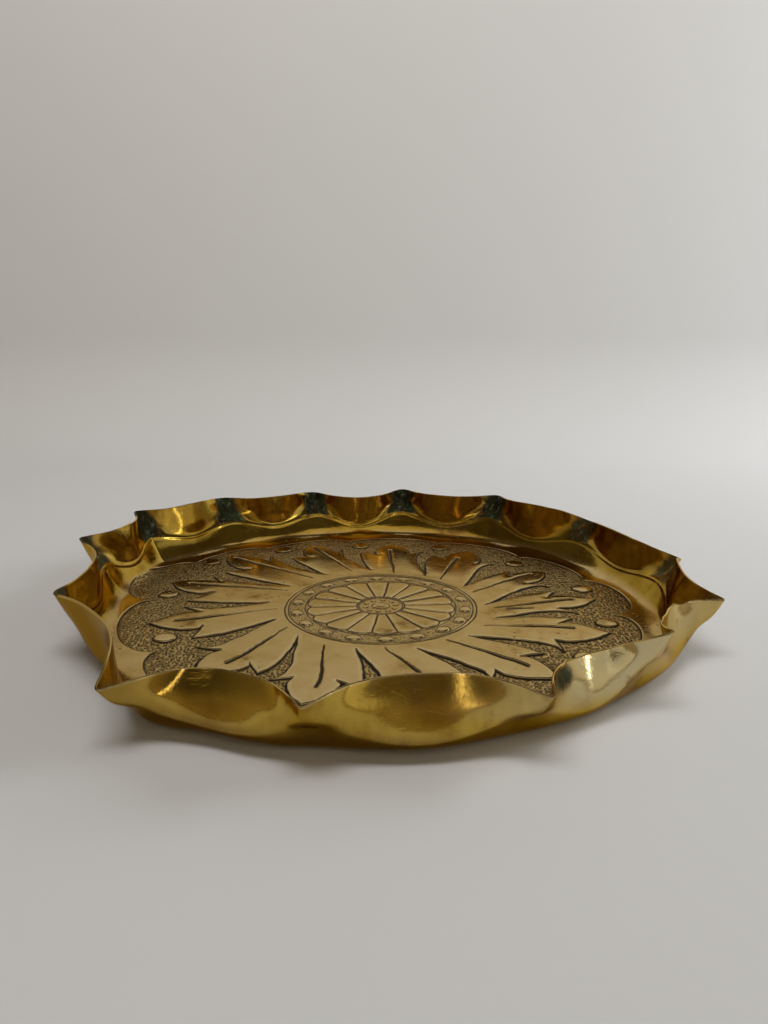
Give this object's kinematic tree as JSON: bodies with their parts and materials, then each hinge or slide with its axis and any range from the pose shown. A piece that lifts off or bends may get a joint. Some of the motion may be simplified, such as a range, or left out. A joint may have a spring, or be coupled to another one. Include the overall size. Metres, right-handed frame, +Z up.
{
  "type": "tray",
  "caption": "Round hammered brass tray with a raised, pie-crust crimped rim and a chased sunflower with a beaded wheel at its heart on the floor.",
  "frame": {"origin": "centre of the flower, on the flat underside that the tray rests on", "axes": "+Z up, out of the tray's mouth; +X and +Y in the plane of the floor, with +Y away from the side that faces the viewer"},
  "size_m": [0.2964, 0.298, 0.0321],
  "materials": {
    "chased_brass": "worn satin brass, dark patina in the chased lines and punched ground",
    "polished_brass": "polished brass, hand-hammered, with verdigris in the crimps"
  },
  "bodies": {
    "root": {"floor_medallion": "chased_brass", "petal_panel_01": "chased_brass", "petal_panel_02": "chased_brass", "petal_panel_03": "chased_brass", "petal_panel_04": "chased_brass", "petal_panel_05": "chased_brass", "petal_panel_06": "chased_brass", "petal_panel_07": "chased_brass", "petal_panel_08": "chased_brass", "petal_panel_09": "chased_brass", "petal_panel_10": "chased_brass", "petal_panel_11": "chased_brass", "petal_panel_12": "chased_brass", "petal_panel_13": "chased_brass", "rim_lobe_01": "polished_brass", "rim_lobe_02": "polished_brass", "rim_lobe_03": "polished_brass", "rim_lobe_04": "polished_brass", "rim_lobe_05": "polished_brass", "rim_lobe_06": "polished_brass", "rim_lobe_07": "polished_brass", "rim_lobe_08": "polished_brass", "rim_lobe_09": "polished_brass", "rim_lobe_10": "polished_brass", "rim_lobe_11": "polished_brass", "rim_lobe_12": "polished_brass", "rim_lobe_13": "polished_brass", "rim_lobe_14": "polished_brass"}
  },
  "joints": []
}
